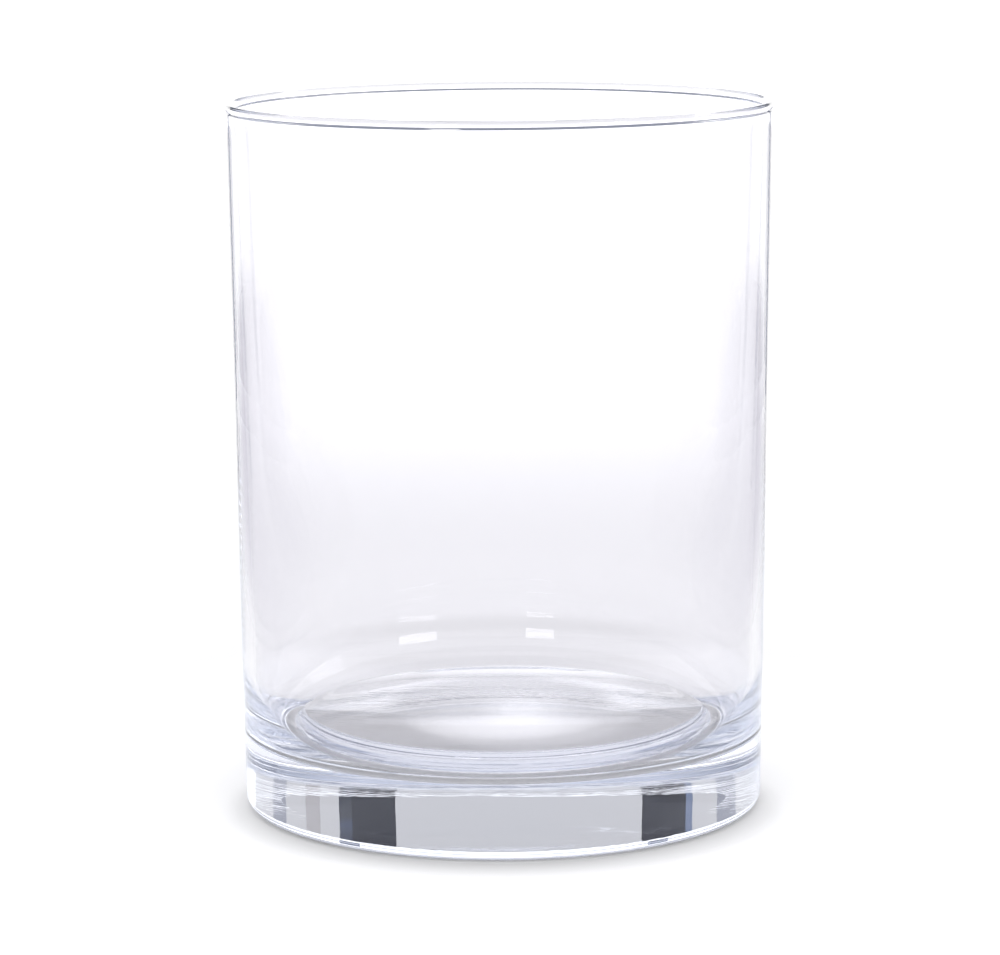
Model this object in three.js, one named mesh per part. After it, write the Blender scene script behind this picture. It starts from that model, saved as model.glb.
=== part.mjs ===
// Whiskey tumbler: a straight-sided short drinking glass with a thick solid base and a
// fire-polished rim. It is one piece of glass, so the model is one body of revolution.
// Millimetres, +Z up. The origin is the centre of the ring that the glass stands on.

import * as THREE from 'three';

// Driving dimensions, outside
const HEIGHT = 106.8; // standing face to the top of the rim
const RIM_RADIUS = 41.0; // widest place, at the rim bead
const BEAD_RADIUS = 0.7; // half the thickness of the rounded rim bead
const BEAD_PROUD = 0.22; // how far the bead stands out from the wall, outside
const BEAD_BLEND = 0.8; // radius of the hollow blend between the bead and the wall
const BASE_RADIUS = 39.4; // outer wall where it meets the heel
const HEEL_RADIUS = 1.8; // rounded edge round the foot
const STANDING_WIDTH = 4.1; // width of the flat ring that the glass stands on
const PUNT_RISE = 0.15; // how far the underside is hollowed inside that ring

// Driving dimensions, inside
const WALL_AT_RIM = 1.05; // wall thickness just under the bead
const WALL_LOW = 1.55; // wall thickness where the groove's flank begins
const FLANK_TOP = 22.0; // height where the straight wall gives way to the groove's flank
const GROOVE_RADIUS = 34.2; // lowest line of the groove that runs round the inner floor
const GROOVE_HEIGHT = 10.7; // underside plane to that lowest line
const FLOOR_RADIUS = 30.9; // edge of the raised disc in the middle of the inner floor
const FLOOR_EDGE_HEIGHT = 13.7; // height of the disc at its rounded edge
const FLOOR_DISH = 0.7; // how much lower the disc is in its middle
const FLOOR_EDGE_RADIUS = 0.3; // rounding of the disc's edge

// Fineness of the faceted surface
const SEGMENTS_AROUND = 80;
const STEPS_PUNT = 4;
const STEPS_HEEL = 4;
const STEPS_BEAD_BLEND = 2;
const STEPS_BEAD_UNDER = 2;
const STEPS_BEAD_QUARTER = 3;
const STEPS_FLANK = 8;
const STEPS_DISC_SIDE = 5;
const STEPS_DISC_EDGE = 2;
const STEPS_FLOOR = 4;

const GLASS_COLOUR = 0xe9eef2;

// Points of an elliptical arc in the (radius, height) plane. Angles are in degrees, measured
// as for a circle before it is stretched, and both ends are included.
function ellipseArc(centre, semiAxes, fromDegrees, toDegrees, steps) {
  const points = [];
  for (let i = 0; i <= steps; i += 1) {
    const angle = THREE.MathUtils.degToRad(THREE.MathUtils.lerp(fromDegrees, toDegrees, i / steps));
    const across = centre.x + semiAxes.x * Math.cos(angle);
    const up = centre.y + semiAxes.y * Math.sin(angle);
    points.push(new THREE.Vector2(across, up));
  }
  return points;
}

function circleArc(centreRadius, centreHeight, radius, fromDegrees, toDegrees, steps) {
  const centre = new THREE.Vector2(centreRadius, centreHeight);
  const semiAxes = new THREE.Vector2(radius, radius);
  return ellipseArc(centre, semiAxes, fromDegrees, toDegrees, steps);
}

// Points of a shallow dish from the axis out to edgeRadius, its height following the square
// of the radius
function dish(middleHeight, edgeRadius, edgeHeight, steps) {
  const points = [];
  for (let i = 0; i <= steps; i += 1) {
    const share = i / steps;
    const up = THREE.MathUtils.lerp(middleHeight, edgeHeight, share * share);
    points.push(new THREE.Vector2(edgeRadius * share, up));
  }
  return points;
}

// One run of points from several that meet end to end, with each shared point kept once
function join(...runs) {
  const [first, ...rest] = runs;
  return rest.reduce((joined, run) => [...joined, ...run.slice(1)], first);
}

// Hollowed underside, standing ring and heel, from the axis out to the foot of the outer wall
function footProfile() {
  const standingOuter = BASE_RADIUS - HEEL_RADIUS;
  const standingInner = standingOuter - STANDING_WIDTH;
  const punt = dish(PUNT_RISE, standingInner, 0, STEPS_PUNT);
  const heel = circleArc(standingOuter, HEEL_RADIUS, HEEL_RADIUS, -90, 0, STEPS_HEEL);
  return [...punt, ...heel];
}

// The bead is a torus round the top edge that bulges a little past the wall on both sides, and
// a hollow arc leads into it from each wall. The bead's quarters are separate arcs, so its
// widest and its topmost circles are both in the profile.
function beadProfile() {
  const centreRadius = RIM_RADIUS - BEAD_RADIUS;
  const centreHeight = HEIGHT - BEAD_RADIUS;
  const bead = (from, to, steps) => circleArc(centreRadius, centreHeight, BEAD_RADIUS, from, to, steps);

  // Each blend's centre stands off its wall by the blend's radius, and off the bead's centre by
  // both radii together
  const reach = BEAD_RADIUS + BEAD_BLEND;
  const outerBlendRadius = RIM_RADIUS - BEAD_PROUD + BEAD_BLEND;
  const innerBlendRadius = RIM_RADIUS - BEAD_PROUD - WALL_AT_RIM - BEAD_BLEND;
  const outerAngle = Math.acos((outerBlendRadius - centreRadius) / reach);
  const innerAngle = Math.acos((centreRadius - innerBlendRadius) / reach);
  const outerDegrees = THREE.MathUtils.radToDeg(outerAngle);
  const innerDegrees = THREE.MathUtils.radToDeg(innerAngle);
  const outerHeight = centreHeight - reach * Math.sin(outerAngle);
  const innerHeight = centreHeight - reach * Math.sin(innerAngle);

  const outerBlendEnd = 180 - outerDegrees;
  const outerBlend = circleArc(
    outerBlendRadius, outerHeight, BEAD_BLEND, 180, outerBlendEnd, STEPS_BEAD_BLEND,
  );
  const innerBlend = circleArc(
    innerBlendRadius, innerHeight, BEAD_BLEND, innerDegrees, 0, STEPS_BEAD_BLEND,
  );
  const outsideUnder = bead(-outerDegrees, 0, STEPS_BEAD_UNDER);
  const outsideTop = bead(0, 90, STEPS_BEAD_QUARTER);
  const insideTop = bead(90, 180, STEPS_BEAD_QUARTER);
  const insideUnder = bead(180, 180 + innerDegrees, STEPS_BEAD_UNDER);
  return join(outerBlend, outsideUnder, outsideTop, insideTop, insideUnder, innerBlend);
}

// The inside, from the foot of the inner wall down the groove's flank, up the side of the
// raised disc and over its rounded edge to the axis. The flank and the disc's side are quarter
// ellipses that share their lowest point.
function innerFloorProfile() {
  const wallInner = BASE_RADIUS - WALL_LOW;
  const flankCentre = new THREE.Vector2(GROOVE_RADIUS, FLANK_TOP);
  const flankAxes = new THREE.Vector2(wallInner - GROOVE_RADIUS, FLANK_TOP - GROOVE_HEIGHT);
  const flank = ellipseArc(flankCentre, flankAxes, 0, -90, STEPS_FLANK);

  const edgeCentreHeight = FLOOR_EDGE_HEIGHT - FLOOR_EDGE_RADIUS;
  const sideCentre = new THREE.Vector2(GROOVE_RADIUS, edgeCentreHeight);
  const sideAxes = new THREE.Vector2(GROOVE_RADIUS - FLOOR_RADIUS, edgeCentreHeight - GROOVE_HEIGHT);
  const discSide = ellipseArc(sideCentre, sideAxes, -90, -180, STEPS_DISC_SIDE);

  const edgeCentreRadius = FLOOR_RADIUS - FLOOR_EDGE_RADIUS;
  const edge = circleArc(edgeCentreRadius, edgeCentreHeight, FLOOR_EDGE_RADIUS, 0, 90, STEPS_DISC_EDGE);

  const floorMiddle = FLOOR_EDGE_HEIGHT - FLOOR_DISH;
  const floorOutwards = dish(floorMiddle, edgeCentreRadius, FLOOR_EDGE_HEIGHT, STEPS_FLOOR);
  return join(flank, discSide, edge, floorOutwards.reverse());
}

function makeTumbler() {
  const profile = [...footProfile(), ...beadProfile(), ...innerFloorProfile()];
  const geometry = new THREE.LatheGeometry(profile, SEGMENTS_AROUND);
  // The lathe turns its profile about +Y, and the glass stands along +Z
  geometry.rotateX(Math.PI / 2);
  const glass = new THREE.MeshStandardMaterial({
    color: GLASS_COLOUR,
    roughness: 0.03,
    metalness: 0,
    transparent: true,
    opacity: 0.25,
  });
  const mesh = new THREE.Mesh(geometry, glass);
  mesh.name = 'tumbler';
  return mesh;
}

const group = new THREE.Group();
group.add(makeTumbler());

export default group;
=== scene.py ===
import math

import bmesh
import bpy
from mathutils import Matrix, Vector


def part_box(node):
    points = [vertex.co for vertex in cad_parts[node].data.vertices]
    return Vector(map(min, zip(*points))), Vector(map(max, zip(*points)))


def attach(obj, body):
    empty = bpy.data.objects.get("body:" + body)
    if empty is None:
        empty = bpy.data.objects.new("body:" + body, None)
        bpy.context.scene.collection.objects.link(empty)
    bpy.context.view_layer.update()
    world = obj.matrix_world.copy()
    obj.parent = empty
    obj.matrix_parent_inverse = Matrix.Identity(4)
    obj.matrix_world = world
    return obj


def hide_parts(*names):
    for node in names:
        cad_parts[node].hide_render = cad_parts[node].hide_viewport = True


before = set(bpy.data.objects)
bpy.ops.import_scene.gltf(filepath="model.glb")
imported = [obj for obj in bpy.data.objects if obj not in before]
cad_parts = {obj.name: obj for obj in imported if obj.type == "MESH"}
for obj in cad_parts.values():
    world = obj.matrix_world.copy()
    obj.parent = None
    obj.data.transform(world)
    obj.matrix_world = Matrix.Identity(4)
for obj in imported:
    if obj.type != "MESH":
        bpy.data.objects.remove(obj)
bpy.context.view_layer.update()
cad_low, cad_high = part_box("tumbler")

MM = 0.001

# Outside of the glass
HEIGHT = cad_high.z
RIM_RADIUS = cad_high.x
BEAD_RADIUS = 0.7 * MM
BEAD_PROUD = 0.22 * MM
BEAD_BLEND = 0.8 * MM
BASE_RADIUS = 39.4 * MM
HEEL_RADIUS = 1.8 * MM
STANDING_WIDTH = 4.1 * MM
PUNT_RISE = 0.15 * MM

# Inside of the glass
WALL_AT_RIM = 1.05 * MM
WALL_LOW = 1.55 * MM
FLANK_TOP = 22.0 * MM
GROOVE_RADIUS = 34.2 * MM
GROOVE_HEIGHT = 10.7 * MM
FLOOR_RADIUS = 30.9 * MM
FLOOR_EDGE_HEIGHT = 13.7 * MM
FLOOR_DISH = 0.7 * MM
FLOOR_EDGE_RADIUS = 0.3 * MM

# Fineness of the visual mesh
SEGMENTS_AROUND = 360
STEPS_PUNT = 20
STEPS_HEEL = 12
STEPS_WALL = 36
STEPS_OUTER_BLEND = 5
STEPS_OUTSIDE_UNDER = 4
STEPS_BEAD_QUARTER = 7
STEPS_INSIDE_UNDER = 3
STEPS_INNER_BLEND = 4
STEPS_FLANK = 24
STEPS_DISC_SIDE = 16
STEPS_DISC_EDGE = 6
STEPS_FLOOR = 20

# Substance of the glass
GLASS_TINT = (0.925, 0.92, 0.938)
GLASS_IOR = 1.52
ABSORBED_TO = (0.80, 0.84, 0.92)
ABSORPTION = 12.0

# Relief of the glass: a stippled ring and a faint swirl on the underside, and a faint wave in
# the outer wall of the solid base. The relief runs along X, and wear has smoothed the
# stippling on the -Y side.
RELIEF_STRETCH = (0.25, 1.0, 1.0)
UNDERSIDE_BELOW = 0.6 * MM
STIPPLE_INNER = 22.0 * MM
STIPPLE_OUTER = 33.0 * MM
STIPPLE_SCALE = 900.0
STIPPLE_HEIGHT = 0.05 * MM
STIPPLE_WORN = 0.2
WORN_FADE = 10.0 * MM
SWIRL_SCALE = 130.0
SWIRL_HEIGHT = 0.012 * MM
WAVE_BELOW = 14.0 * MM
WAVE_SCALE = 220.0
WAVE_HEIGHT = 0.008 * MM

# Floor: a pale sheet lit a little from beneath, like a light table, with a painted pool of light
# under the glass. Its colour holds painted shade: a painted contact shadow, darkest under the foot
# of the glass, a lighter painted fill beside the foot, a darker ring of painted shade further out,
# and painted shade just behind the glass. Each list of stops runs outwards from the centre named
# with it.
FLOOR_REACH = 6.0
FLOOR_DROP = 0.1 * MM
# Painted contact shadow at the foot of the glass
FLOOR_PAINTED_CONTACT_SHADOW = 0.52
# Painted light: a lighter round beside the foot that fills the glass's own shadow
FLOOR_PAINTED_FILL = 0.92
# Painted shade: a darker ring round the glass, further out, seen through it
FLOOR_PAINTED_SHADE = 0.76
FLOOR_FAR = 0.98
# The tone is centred a little towards -Y, so that the painted contact shadow shows just in front of the foot
# and lies mostly under the glass elsewhere.
TONE_CENTRE = (0.0, -0.0045)
TONE_REACH = (1.0, 1.0)
TONE_STOPS = [
    (0.0, FLOOR_FAR), (0.034, FLOOR_FAR), (0.035, FLOOR_PAINTED_CONTACT_SHADOW), (0.037, FLOOR_PAINTED_CONTACT_SHADOW),
    (0.041, FLOOR_PAINTED_FILL), (0.085, FLOOR_PAINTED_FILL), (0.12, FLOOR_PAINTED_SHADE), (0.20, FLOOR_PAINTED_SHADE),
    (0.42, FLOOR_FAR),
]
# Painted shade on the floor just behind the glass
SHADE_CENTRE = (0.0, 0.09)
SHADE_REACH = (0.046, 0.05)
SHADE_STOPS = [(0.0, 0.84), (0.5, 0.86), (1.0, 1.0)]
# Emission: an even glow everywhere, and a painted pool of light under the glass, strongest at its centre
GLOW_AND_PAINTED_POOL_STRENGTH = 1.1
PAINTED_POOL_CENTRE = (0.003, 0.016)
PAINTED_POOL_REACH = (0.021, 0.038)
GLOW_AND_PAINTED_POOL_STOPS = [(0.0, 1.0), (0.12, 1.0), (0.21, 0.78), (0.39, 0.54), (0.51, 0.45), (0.82, 0.32), (1.0, 0.153)]

# Dome: light graded by the sine of the elevation
DOME_STRENGTH = 2.0
HORIZON = (0.85, 0.85, 0.85)
HAZE = (0.36, 0.355, 0.352)
CEILING = (0.52, 0.52, 0.535)
DOME_STOPS = [(0.0, HORIZON), (0.216, HORIZON), (0.223, HAZE), (0.30, HAZE), (0.34, CEILING), (1.0, CEILING)]

# Softbox in front and above, which lights the floor
SOFTBOX_PLACE = (0.0, -0.45, 0.8)
SOFTBOX_SIZE = 0.6
SOFTBOX_POWER = 1.4

# Dark studio panels behind the glass, which show in its solid base. Each has two azimuths from
# +Y towards +X and two elevations, in degrees, and a colour.
BLACK = (0.012, 0.014, 0.025)
INK = (0.04, 0.045, 0.06)
SLATE = (0.06, 0.075, 0.12)
NAVY = (0.16, 0.20, 0.30)
DUSK = (0.28, 0.29, 0.33)
BROWN = (0.45, 0.43, 0.42)
PANEL_DISTANCE = 1.5
PANELS = {
    "panel_left": (16.0, 24.5, 12.6, 17.5, BLACK),
    "panel_left_top": (24.5, 27.4, 12.6, 14.7, INK),
    "panel_left_low": (24.5, 27.4, 14.7, 17.5, SLATE),
    "panel_left_lip": (8.0, 16.0, 12.85, 13.15, INK),
    "panel_left_brown": (32.5, 37.0, 12.6, 17.5, BROWN),
    "panel_left_far": (45.0, 52.0, 12.6, 17.5, DUSK),
    "panel_right": (-32.0, -21.6, 12.6, 17.5, BLACK),
    "panel_right_lip": (-21.6, -16.5, 12.85, 13.15, INK),
    "panel_right_edge": (-34.0, -32.0, 12.6, 17.5, NAVY),
    "panel_right_far": (-53.0, -43.0, 12.6, 17.5, DUSK),
}

# Flags, cards and mats stand or lie on the floor at both sides, given here for +X. The flags
# draw the thin dark edges of the wall, and the cards and mats the soft grey beside them.
FLAG_COLOUR = (0.14, 0.16, 0.23)
FLAG_FOOT = ((0.112, 0.235), (0.116, 0.232), (0.224, 0.476), (0.187, 0.489))
FLAG_HEIGHT = 0.075
CARD_LINE = ((0.34, 0.02), (0.30, 0.22), (0.20, 0.36))
CARD_HEIGHT = 0.045
CARD_COLOUR = (0.50, 0.49, 0.53)
CARD_CENTRE = (0.0, 0.22)
CARD_REACH = (FLOOR_REACH, 0.20, CARD_HEIGHT)
CARD_OPACITY = [(0.0, 1.0), (0.6, 0.9), (1.0, 0.0)]
MAT_COLOUR = (0.66, 0.65, 0.69)
MAT_CENTRE = (0.225, 0.16)
MAT_REACH = (0.135, 0.23)
MAT_OPACITY = [(0.0, 1.0), (0.55, 1.0), (1.0, 0.0)]
MAT_RISE = 0.2 * MM
CORNERS = ((-1, -1), (1, -1), (1, 1), (-1, 1))

# Collar round the glass, which draws the thin dark lines of the rim bead
COLLAR_COLOUR = (0.20, 0.22, 0.275)
COLLAR_RADIUS = 0.30
COLLAR_STEPS = 720
COLLAR_LOW = 0.16
COLLAR_MIDDLE = 0.22
COLLAR_HIGH = 0.30
COLLAR_GAP = (-4.5, -2.5)

# Small lamps seen as highlights: two azimuths, two elevations in degrees, and a radiance
LAMP_DISTANCE = 0.8
LAMPS = {
    "lamp_right": (127.0, 147.0, 0.0, 7.5, 7.0),
    "lamp_left": (-168.5, -154.4, 0.0, 8.0, 7.0),
    "lamp_side": (66.0, 92.0, 3.0, 15.0, 3.0),
}

# Camera, in metres and radians
CAMERA_LENS = 144
CAMERA_SENSOR = 36
CAMERA_DISTANCE = 0.5984
CAMERA_HEIGHT = 0.1500
CAMERA_PITCH = 0.1661
CAMERA_YAW = -0.0004
CAMERA_ROLL = -0.0065

LIGHT_BOUNCES = 64


def lerp(a, b, t):
    return a + (b - a) * t


def link(obj):
    bpy.context.scene.collection.objects.link(obj)
    return obj


# Profile of the glass, as (radius, height) points

def ellipse_arc(centre, semi_axes, from_degrees, to_degrees, steps):
    points = []
    for i in range(steps + 1):
        angle = math.radians(lerp(from_degrees, to_degrees, i / steps))
        across = centre[0] + semi_axes[0] * math.cos(angle)
        up = centre[1] + semi_axes[1] * math.sin(angle)
        points.append((across, up))
    return points


def circle_arc(centre, radius, from_degrees, to_degrees, steps):
    return ellipse_arc(centre, (radius, radius), from_degrees, to_degrees, steps)


def dish(middle_height, edge_radius, edge_height, steps):
    shares = [i / steps for i in range(steps + 1)]
    return [(edge_radius * share, lerp(middle_height, edge_height, share ** 2)) for share in shares]


def between(a, b, steps):
    shares = [i / steps for i in range(1, steps)]
    return [(lerp(a[0], b[0], share), lerp(a[1], b[1], share)) for share in shares]


def join(*runs):
    joined = list(runs[0])
    for run in runs[1:]:
        joined += run[1:]
    return joined


def foot_profile():
    standing_outer = BASE_RADIUS - HEEL_RADIUS
    standing_inner = standing_outer - STANDING_WIDTH
    punt = dish(PUNT_RISE, standing_inner, 0, STEPS_PUNT)
    heel = circle_arc((standing_outer, HEEL_RADIUS), HEEL_RADIUS, -90, 0, STEPS_HEEL)
    return punt + heel


def bead_profile():
    # The bead is a torus that bulges past both walls, with a hollow blend into each of them
    bead_centre = (RIM_RADIUS - BEAD_RADIUS, HEIGHT - BEAD_RADIUS)
    reach = BEAD_RADIUS + BEAD_BLEND
    outer_blend_radius = RIM_RADIUS - BEAD_PROUD + BEAD_BLEND
    inner_blend_radius = RIM_RADIUS - BEAD_PROUD - WALL_AT_RIM - BEAD_BLEND
    outer_angle = math.acos((outer_blend_radius - bead_centre[0]) / reach)
    inner_angle = math.acos((bead_centre[0] - inner_blend_radius) / reach)
    outer_centre = (outer_blend_radius, bead_centre[1] - reach * math.sin(outer_angle))
    inner_centre = (inner_blend_radius, bead_centre[1] - reach * math.sin(inner_angle))
    outer_degrees = math.degrees(outer_angle)
    inner_degrees = math.degrees(inner_angle)
    return join(
        circle_arc(outer_centre, BEAD_BLEND, 180, 180 - outer_degrees, STEPS_OUTER_BLEND),
        circle_arc(bead_centre, BEAD_RADIUS, -outer_degrees, 0, STEPS_OUTSIDE_UNDER),
        circle_arc(bead_centre, BEAD_RADIUS, 0, 90, STEPS_BEAD_QUARTER),
        circle_arc(bead_centre, BEAD_RADIUS, 90, 180, STEPS_BEAD_QUARTER),
        circle_arc(bead_centre, BEAD_RADIUS, 180, 180 + inner_degrees, STEPS_INSIDE_UNDER),
        circle_arc(inner_centre, BEAD_BLEND, inner_degrees, 0, STEPS_INNER_BLEND),
    )


def inner_floor_profile():
    wall_inner = BASE_RADIUS - WALL_LOW
    edge_centre = (FLOOR_RADIUS - FLOOR_EDGE_RADIUS, FLOOR_EDGE_HEIGHT - FLOOR_EDGE_RADIUS)
    flank_axes = (wall_inner - GROOVE_RADIUS, FLANK_TOP - GROOVE_HEIGHT)
    side_axes = (GROOVE_RADIUS - FLOOR_RADIUS, edge_centre[1] - GROOVE_HEIGHT)
    floor_outwards = dish(FLOOR_EDGE_HEIGHT - FLOOR_DISH, edge_centre[0], FLOOR_EDGE_HEIGHT, STEPS_FLOOR)
    return join(
        ellipse_arc((GROOVE_RADIUS, FLANK_TOP), flank_axes, 0, -90, STEPS_FLANK),
        ellipse_arc((GROOVE_RADIUS, edge_centre[1]), side_axes, -90, -180, STEPS_DISC_SIDE),
        circle_arc(edge_centre, FLOOR_EDGE_RADIUS, 0, 90, STEPS_DISC_EDGE),
        floor_outwards[::-1],
    )


def glass_profile():
    foot = foot_profile()
    bead = bead_profile()
    inner_floor = inner_floor_profile()
    outer_wall = between(foot[-1], bead[0], STEPS_WALL)
    inner_wall = between(bead[-1], inner_floor[0], STEPS_WALL)
    return foot + outer_wall + bead + inner_wall + inner_floor


def lathe(name, profile, segments):
    # Turns the profile about +Z. Its first and last points lie on the axis.
    bm = bmesh.new()
    rings = [[bm.verts.new((0, 0, profile[0][1]))]]
    for radius, height in profile[1:-1]:
        angles = [2 * math.pi * i / segments for i in range(segments)]
        rings.append([bm.verts.new((radius * math.cos(a), radius * math.sin(a), height)) for a in angles])
    rings.append([bm.verts.new((0, 0, profile[-1][1]))])
    for lower, upper in zip(rings, rings[1:]):
        for i in range(segments):
            j = (i + 1) % segments
            if len(lower) == 1:
                bm.faces.new((lower[0], upper[j], upper[i]))
            elif len(upper) == 1:
                bm.faces.new((lower[i], lower[j], upper[0]))
            else:
                bm.faces.new((lower[i], lower[j], upper[j], upper[i]))
    bm.normal_update()
    mesh = bpy.data.meshes.new(name)
    bm.to_mesh(mesh)
    bm.free()
    for polygon in mesh.polygons:
        polygon.use_smooth = True
    return link(bpy.data.objects.new(name, mesh))


# Materials

def node_material(name):
    material = bpy.data.materials.new(name)
    material.use_nodes = True
    return material, material.node_tree.nodes, material.node_tree.links


def colour_ramp(nodes, stops):
    node = nodes.new("ShaderNodeValToRGB")
    elements = node.color_ramp.elements
    while len(elements) > 1:
        elements.remove(elements[0])
    elements[0].position = stops[0][0]
    elements[0].color = (*stops[0][1], 1)
    for position, colour in stops[1:]:
        elements.new(position).color = (*colour, 1)
    return node


def glass_material():
    material, nodes, links = node_material("clear_glass")
    shader = nodes["Principled BSDF"]
    shader.inputs["Base Color"].default_value = (*GLASS_TINT, 1)
    shader.inputs["Transmission Weight"].default_value = 1.0
    shader.inputs["Roughness"].default_value = 0.0
    shader.inputs["IOR"].default_value = GLASS_IOR
    volume = nodes.new("ShaderNodeVolumeAbsorption")
    volume.inputs["Color"].default_value = (*ABSORBED_TO, 1)
    volume.inputs["Density"].default_value = ABSORPTION
    links.new(volume.outputs["Volume"], nodes["Material Output"].inputs["Volume"])

    coordinates = nodes.new("ShaderNodeTexCoord")
    stretched = nodes.new("ShaderNodeMapping")
    stretched.inputs["Scale"].default_value = RELIEF_STRETCH
    links.new(coordinates.outputs["Object"], stretched.inputs["Vector"])
    split = nodes.new("ShaderNodeSeparateXYZ")
    links.new(coordinates.outputs["Object"], split.inputs[0])

    def maths(operation, first, second):
        node = nodes.new("ShaderNodeMath")
        node.operation = operation
        for socket, value in zip(node.inputs, (first, second)):
            if isinstance(value, float):
                socket.default_value = value
            else:
                links.new(value, socket)
        return node.outputs[0]

    def product(*values):
        result = values[0]
        for value in values[1:]:
            result = maths("MULTIPLY", result, value)
        return result

    def noise(scale, detail):
        node = nodes.new("ShaderNodeTexNoise")
        node.inputs["Scale"].default_value = scale
        node.inputs["Detail"].default_value = detail
        links.new(stretched.outputs["Vector"], node.inputs["Vector"])
        return node.outputs["Fac"]

    along_x, along_y, height = split.outputs
    across = maths("SQRT", maths("ADD", maths("POWER", along_x, 2.0), maths("POWER", along_y, 2.0)), 0.0)
    wear = nodes.new("ShaderNodeMapRange")
    wear.interpolation_type = "SMOOTHSTEP"
    wear.inputs["From Min"].default_value = -WORN_FADE
    wear.inputs["From Max"].default_value = WORN_FADE
    wear.inputs["To Min"].default_value = STIPPLE_WORN
    wear.inputs["To Max"].default_value = 1.0
    links.new(along_y, wear.inputs["Value"])

    underside = maths("LESS_THAN", height, UNDERSIDE_BELOW)
    past_inner = maths("GREATER_THAN", across, STIPPLE_INNER)
    within_outer = maths("LESS_THAN", across, STIPPLE_OUTER)
    ring = product(past_inner, within_outer, wear.outputs["Result"])
    stipple = product(ring, noise(STIPPLE_SCALE, 2.0), STIPPLE_HEIGHT)
    swirl = product(noise(SWIRL_SCALE, 2.0), SWIRL_HEIGHT)
    outer_wall = maths("GREATER_THAN", across, BASE_RADIUS - HEEL_RADIUS)
    beside_base = product(outer_wall, maths("LESS_THAN", height, WAVE_BELOW))
    wave = product(beside_base, noise(WAVE_SCALE, 3.0), WAVE_HEIGHT)
    relief = maths("ADD", product(underside, maths("ADD", stipple, swirl)), wave)
    bump = nodes.new("ShaderNodeBump")
    bump.inputs["Distance"].default_value = 1.0
    links.new(relief, bump.inputs["Height"])
    links.new(bump.outputs["Normal"], shader.inputs["Normal"])
    return material


def floor_material():
    material, nodes, links = node_material("pale_floor")
    shader = nodes["Principled BSDF"]
    coordinates = nodes.new("ShaderNodeTexCoord")

    def graded(centre, reach, stops):
        place = nodes.new("ShaderNodeMapping")
        place.vector_type = "TEXTURE"
        place.inputs["Location"].default_value = (*centre, 0)
        place.inputs["Scale"].default_value = (*reach, 1)
        links.new(coordinates.outputs["Object"], place.inputs["Vector"])
        length = nodes.new("ShaderNodeVectorMath")
        length.operation = "LENGTH"
        links.new(place.outputs["Vector"], length.inputs[0])
        grade = colour_ramp(nodes, [(position, (grey, grey, grey)) for position, grey in stops])
        grade.color_ramp.interpolation = "EASE"
        links.new(length.outputs["Value"], grade.inputs[0])
        return grade.outputs[0]

    # Colour: the radial tone, with its painted contact shadow, painted fill and ring of painted shade, times
    # the painted shade behind the glass
    both = nodes.new("ShaderNodeMix")
    both.data_type = "RGBA"
    both.blend_type = "MULTIPLY"
    both.inputs["Factor"].default_value = 1.0
    links.new(graded(TONE_CENTRE, TONE_REACH, TONE_STOPS), both.inputs["A"])
    links.new(graded(SHADE_CENTRE, SHADE_REACH, SHADE_STOPS), both.inputs["B"])
    links.new(both.outputs["Result"], shader.inputs["Base Color"])
    # Emission: an even glow, and a painted pool of light under the glass
    links.new(graded(PAINTED_POOL_CENTRE, PAINTED_POOL_REACH, GLOW_AND_PAINTED_POOL_STOPS), shader.inputs["Emission Color"])
    shader.inputs["Emission Strength"].default_value = GLOW_AND_PAINTED_POOL_STRENGTH
    shader.inputs["Roughness"].default_value = 0.9
    shader.inputs["Specular IOR Level"].default_value = 0.1
    return material


def matt(name, colour):
    material, nodes, _ = node_material(name)
    shader = nodes["Principled BSDF"]
    shader.inputs["Base Color"].default_value = (*colour, 1)
    shader.inputs["Roughness"].default_value = 0.9
    shader.inputs["Specular IOR Level"].default_value = 0.0
    return material


def fading_matt(name, colour, centre, reach, stops):
    # A matt surface that fades out with the distance from a centre on the floor. The distance
    # is measured along each axis as a share of the reach.
    material = matt(name, colour)
    nodes = material.node_tree.nodes
    links = material.node_tree.links
    coordinates = nodes.new("ShaderNodeTexCoord")
    place = nodes.new("ShaderNodeMapping")
    place.vector_type = "TEXTURE"
    place.inputs["Location"].default_value = (*centre, 0)
    place.inputs["Scale"].default_value = reach
    links.new(coordinates.outputs["Object"], place.inputs["Vector"])
    length = nodes.new("ShaderNodeVectorMath")
    length.operation = "LENGTH"
    links.new(place.outputs["Vector"], length.inputs[0])
    opacity = colour_ramp(nodes, [(position, (grey, grey, grey)) for position, grey in stops])
    opacity.color_ramp.interpolation = "EASE"
    links.new(length.outputs["Value"], opacity.inputs[0])
    clear = nodes.new("ShaderNodeBsdfTransparent")
    mix = nodes.new("ShaderNodeMixShader")
    links.new(opacity.outputs[0], mix.inputs[0])
    links.new(clear.outputs[0], mix.inputs[1])
    links.new(nodes["Principled BSDF"].outputs[0], mix.inputs[2])
    links.new(mix.outputs[0], nodes["Material Output"].inputs["Surface"])
    return material


def glowing(name, radiance):
    material, nodes, links = node_material(name)
    emission = nodes.new("ShaderNodeEmission")
    emission.inputs["Strength"].default_value = radiance
    links.new(emission.outputs[0], nodes["Material Output"].inputs["Surface"])
    return material


# Stage

def staged(name, corners, faces, material):
    mesh = bpy.data.meshes.new(name)
    mesh.from_pydata(corners, [], faces)
    mesh.materials.append(material)
    obj = link(bpy.data.objects.new(name, mesh))
    return obj


def seen_in_glass_only(obj):
    obj.visible_camera = False
    obj.visible_diffuse = False
    obj.visible_shadow = False


def around(distance, azimuth):
    angle = math.radians(azimuth)
    return (distance * math.sin(angle), distance * math.cos(angle))


def upright(name, start, end, low, high, material):
    corners = [(*start, low), (*end, low), (*end, high), (*start, high)]
    return staged(name, corners, [(0, 1, 2, 3)], material)


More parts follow.
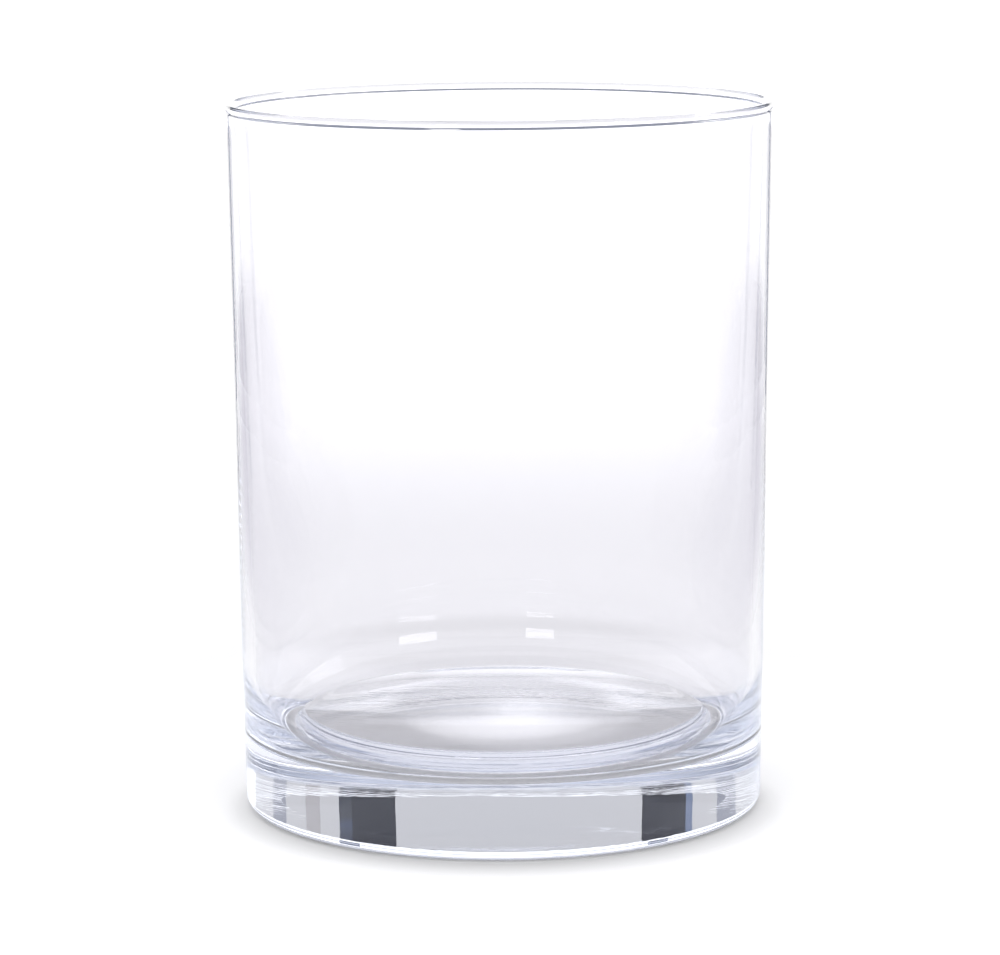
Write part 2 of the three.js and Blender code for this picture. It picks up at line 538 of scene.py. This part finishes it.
def facing(name, distance, azimuths, elevations, material):
    start, end = (around(distance, azimuth) for azimuth in azimuths)
    low, high = (distance * math.tan(math.radians(elevation)) for elevation in elevations)
    return upright(name, start, end, low, high, material)


def lying(name, outline, material):
    corners = [(x, y, MAT_RISE) for x, y in outline]
    return staged(name, corners, [tuple(range(len(outline)))], material)


def floor():
    bm = bmesh.new()
    bmesh.ops.create_circle(bm, cap_ends=True, segments=128, radius=FLOOR_REACH)
    mesh = bpy.data.meshes.new("floor")
    bm.to_mesh(mesh)
    bm.free()
    mesh.materials.append(floor_material())
    obj = link(bpy.data.objects.new("floor", mesh))
    obj.location.z = -FLOOR_DROP


def dome():
    world = bpy.data.worlds.new("studio")
    bpy.context.scene.world = world
    world.use_nodes = True
    nodes = world.node_tree.nodes
    links = world.node_tree.links
    coordinates = nodes.new("ShaderNodeTexCoord")
    split = nodes.new("ShaderNodeSeparateXYZ")
    links.new(coordinates.outputs["Generated"], split.inputs[0])
    grade = colour_ramp(nodes, DOME_STOPS)
    links.new(split.outputs["Z"], grade.inputs[0])
    links.new(grade.outputs[0], nodes["Background"].inputs["Color"])
    nodes["Background"].inputs["Strength"].default_value = DOME_STRENGTH


def softbox():
    data = bpy.data.lights.new("front_box", "AREA")
    data.shape = "SQUARE"
    data.size = SOFTBOX_SIZE
    data.energy = SOFTBOX_POWER
    obj = link(bpy.data.objects.new("front_box", data))
    obj.location = SOFTBOX_PLACE
    obj.rotation_mode = "QUATERNION"
    obj.rotation_quaternion = (-Vector(SOFTBOX_PLACE)).to_track_quat("-Z", "Y")
    obj.visible_glossy = False
    obj.visible_transmission = False


def side_screens(side, suffix):
    flag = matt("flag_" + suffix, FLAG_COLOUR)
    foot = [(side * x, y) for x, y in FLAG_FOOT]
    seen_in_glass_only(upright("flag_" + suffix, foot[2], foot[3], 0.0, FLAG_HEIGHT, flag))
    seen_in_glass_only(lying("flag_mat_" + suffix, foot, flag))
    card = fading_matt("card_" + suffix, CARD_COLOUR, CARD_CENTRE, CARD_REACH, CARD_OPACITY)
    line = [(side * x, y) for x, y in CARD_LINE]
    for k, (start, end) in enumerate(zip(line, line[1:])):
        name = "card_%s_%d" % (suffix, k)
        seen_in_glass_only(upright(name, start, end, 0.0, CARD_HEIGHT, card))
    centre = (side * MAT_CENTRE[0], MAT_CENTRE[1])
    mat = fading_matt("side_mat_" + suffix, MAT_COLOUR, centre, (*MAT_REACH, 1), MAT_OPACITY)
    outline = [(centre[0] + a * MAT_REACH[0], centre[1] + b * MAT_REACH[1]) for a, b in CORNERS]
    seen_in_glass_only(lying("side_mat_" + suffix, outline, mat))


def collar(name, low, high, gap):
    corners = []
    faces = []
    for i in range(COLLAR_STEPS):
        azimuth = 360 * i / COLLAR_STEPS - 180
        across = around(COLLAR_RADIUS, azimuth)
        corners += [(*across, low), (*across, high)]
        following = (i + 1) % COLLAR_STEPS
        if not gap[0] <= azimuth < gap[1]:
            faces.append((2 * i, 2 * i + 1, 2 * following + 1, 2 * following))
    seen_in_glass_only(staged(name, corners, faces, matt(name, COLLAR_COLOUR)))


def camera():
    forward = Vector((
        math.sin(CAMERA_YAW) * math.cos(CAMERA_PITCH),
        math.cos(CAMERA_YAW) * math.cos(CAMERA_PITCH),
        -math.sin(CAMERA_PITCH),
    ))
    right = Vector((math.cos(CAMERA_YAW), -math.sin(CAMERA_YAW), 0))
    up = right.cross(forward)
    rolled_right = right * math.cos(CAMERA_ROLL) + up * math.sin(CAMERA_ROLL)
    rolled_up = up * math.cos(CAMERA_ROLL) - right * math.sin(CAMERA_ROLL)
    rotation = Matrix((rolled_right, rolled_up, -forward)).transposed().to_4x4()
    data = bpy.data.cameras.new("camera")
    data.lens = CAMERA_LENS
    data.sensor_width = CAMERA_SENSOR
    data.clip_start = 0.01
    data.clip_end = 50
    obj = link(bpy.data.objects.new("camera", data))
    obj.matrix_world = Matrix.Translation((0, -CAMERA_DISTANCE, CAMERA_HEIGHT)) @ rotation
    return obj


glass = lathe("glass_body", glass_profile(), SEGMENTS_AROUND)
glass.data.materials.append(glass_material())
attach(glass, "root")
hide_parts("tumbler")

floor()
dome()
softbox()
for name, (from_azimuth, to_azimuth, low, high, colour) in PANELS.items():
    facing(name, PANEL_DISTANCE, (from_azimuth, to_azimuth), (low, high), matt(name, colour))
side_screens(-1, "left")
side_screens(1, "right")
collar("collar_low", COLLAR_LOW, COLLAR_MIDDLE, (0, 0))
collar("collar_high", COLLAR_MIDDLE, COLLAR_HIGH, COLLAR_GAP)
for name, (from_azimuth, to_azimuth, low, high, radiance) in LAMPS.items():
    lamp = facing(name, LAMP_DISTANCE, (from_azimuth, to_azimuth), (low, high), glowing(name, radiance))
    seen_in_glass_only(lamp)

scene = bpy.context.scene
scene.camera = camera()
scene.view_settings.view_transform = "Standard"
scene.cycles.max_bounces = LIGHT_BOUNCES
scene.cycles.transmission_bounces = LIGHT_BOUNCES
scene.cycles.glossy_bounces = LIGHT_BOUNCES
